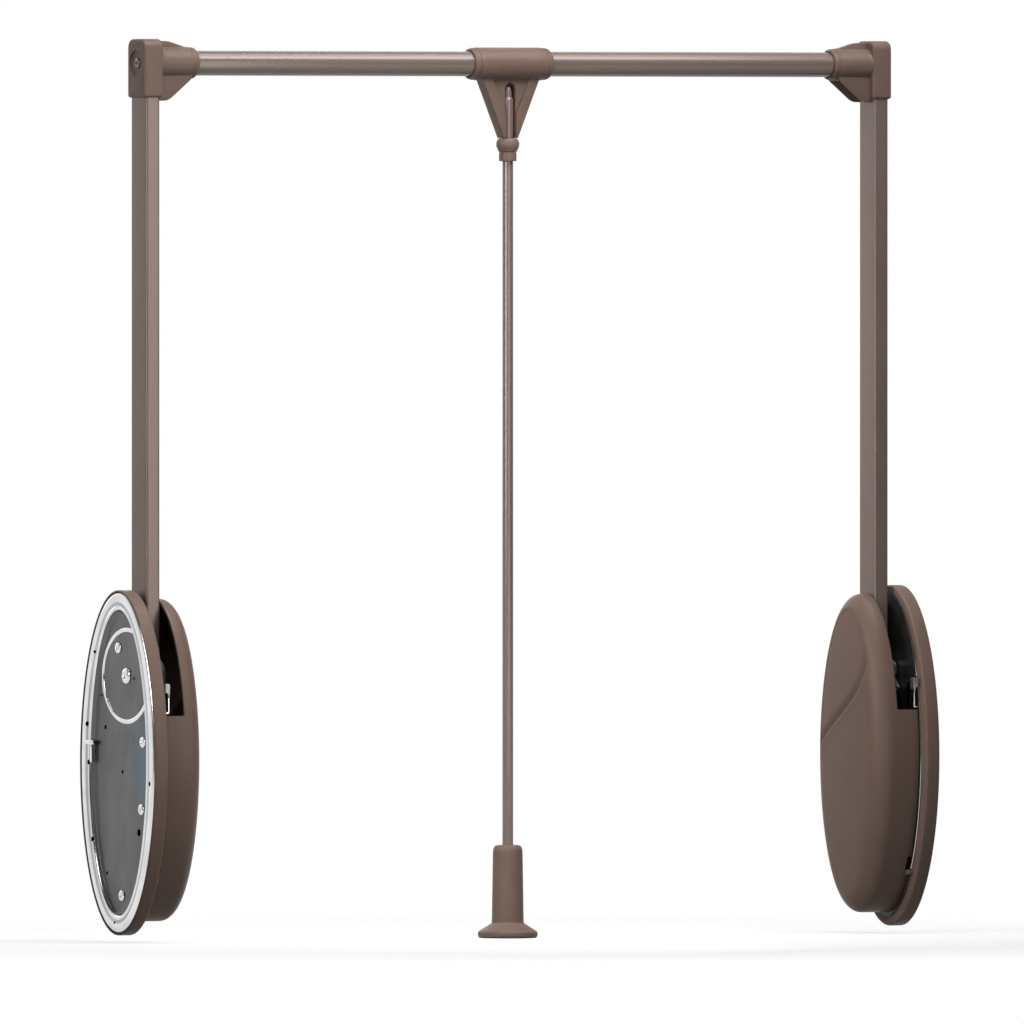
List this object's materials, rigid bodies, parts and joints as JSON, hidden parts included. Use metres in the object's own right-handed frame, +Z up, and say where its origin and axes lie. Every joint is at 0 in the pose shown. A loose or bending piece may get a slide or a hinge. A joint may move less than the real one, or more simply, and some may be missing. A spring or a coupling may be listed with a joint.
{
  "type": "pull down closet rod",
  "caption": "Spring assisted wardrobe lift: oval wall housings carry swinging arms, a telescoping hanging bar and a hanging pull handle that brings the bar down.",
  "frame": {"origin": "middle of the width and of the housings' depth, at the height of the pull grip's foot", "axes": "+X along the hanging bar from the left housing to the right one, -Y the front that the bar swings out to, +Z up"},
  "size_m": [0.92, 0.1472, 0.898],
  "materials": {
    "cover_plastic": "fine matt moulded, warm brown",
    "bracket_plastic": "satin moulded, warm brown",
    "painted_steel": "bronze powder coat with a soft sheen",
    "zinc_steel": "bright zinc plate",
    "spring_steel": "dark oiled steel",
    "cast_metal": "black coated zinc casting",
    "bush_bronze": "sintered bronze",
    "black_rubber": "matt"
  },
  "bodies": {
    "left_housing": {"left_shell": "cover_plastic", "left_wall_plate": "zinc_steel", "left_chassis_plate": "zinc_steel", "left_cover": "cover_plastic", "left_pivot_axle": "zinc_steel", "left_rivet_top": "zinc_steel", "left_rivet_mid": "zinc_steel", "left_rivet_front": "zinc_steel", "left_rivet_low": "zinc_steel", "left_spring_seat": "zinc_steel", "left_lift_spring": "spring_steel", "left_damper_body": "spring_steel", "left_damper_pin": "zinc_steel", "left_stop_hook": "zinc_steel"},
    "right_housing": {"right_shell": "cover_plastic", "right_wall_plate": "zinc_steel", "right_chassis_plate": "zinc_steel", "right_cover": "cover_plastic", "right_pivot_axle": "zinc_steel", "right_rivet_top": "zinc_steel", "right_rivet_mid": "zinc_steel", "right_rivet_front": "zinc_steel", "right_rivet_low": "zinc_steel", "right_spring_seat": "zinc_steel", "right_lift_spring": "spring_steel", "right_damper_body": "spring_steel", "right_damper_pin": "zinc_steel", "right_stop_hook": "zinc_steel"},
    "lift_left": {"left_arm_foot": "cast_metal", "left_arm_tube": "painted_steel", "left_arm_bush": "bush_bronze", "left_sector_gear": "zinc_steel", "left_rest_bumper": "black_rubber", "left_corner_bracket": "bracket_plastic", "left_bracket_screw": "zinc_steel", "left_bar_tube": "painted_steel", "inner_bar_tube": "zinc_steel"},
    "lift_right": {"right_arm_foot": "cast_metal", "right_arm_tube": "painted_steel", "right_arm_bush": "bush_bronze", "right_sector_gear": "zinc_steel", "right_rest_bumper": "black_rubber", "right_corner_bracket": "bracket_plastic", "right_bracket_screw": "zinc_steel", "right_bar_tube": "painted_steel"},
    "rack_left": {"left_rack": "zinc_steel", "left_pull_rod": "zinc_steel", "left_spring_nut": "zinc_steel", "left_damper_rod": "zinc_steel"},
    "rack_right": {"right_rack": "zinc_steel", "right_pull_rod": "zinc_steel", "right_spring_nut": "zinc_steel", "right_damper_rod": "zinc_steel"},
    "pull_handle": {"pull_sleeve": "bracket_plastic", "pull_pole": "painted_steel", "ball_collar": "bracket_plastic", "pole_ferrule": "bracket_plastic", "pull_grip": "bracket_plastic"}
  },
  "joints": [
    {"name": "width_adjust", "type": "slide", "parent": "left_housing", "child": "right_housing", "axis": [1, 0, 0], "range_m": [0, 0.23]},
    {"name": "lift_left", "type": "hinge", "parent": "left_housing", "child": "lift_left", "pos_m": [-0.427, -0.01, 0.2655], "axis": [1, 0, 0], "range_deg": [0, 110], "stiffness_Nm_per_rad": 3, "springref_deg": -45.84},
    {"name": "lift_right", "type": "hinge", "parent": "right_housing", "child": "lift_right", "pos_m": [0.427, -0.01, 0.2655], "axis": [1, 0, 0], "range_deg": [0, 110], "stiffness_Nm_per_rad": 3, "springref_deg": -45.84},
    {"name": "rack_left", "type": "slide", "parent": "left_housing", "child": "rack_left", "axis": [0, 0, 1], "range_m": [0, 0.0461], "deforming": ["left_lift_spring"]},
    {"name": "rack_right", "type": "slide", "parent": "right_housing", "child": "rack_right", "axis": [0, 0, 1], "range_m": [0, 0.0461], "deforming": ["right_lift_spring"]},
    {"name": "handle_swing", "type": "hinge", "parent": "lift_left", "child": "pull_handle", "pos_m": [-0.005, 0, 0.874], "axis": [1, 0, 0], "range_deg": [-120, 45]}
  ],
  "couplings": [
    {"joint": "lift_right", "follows": "lift_left", "ratio": 1},
    {"joint": "rack_left", "follows": "lift_left", "m_per_rad": 0.024},
    {"joint": "rack_right", "follows": "lift_left", "m_per_rad": 0.024}
  ]
}
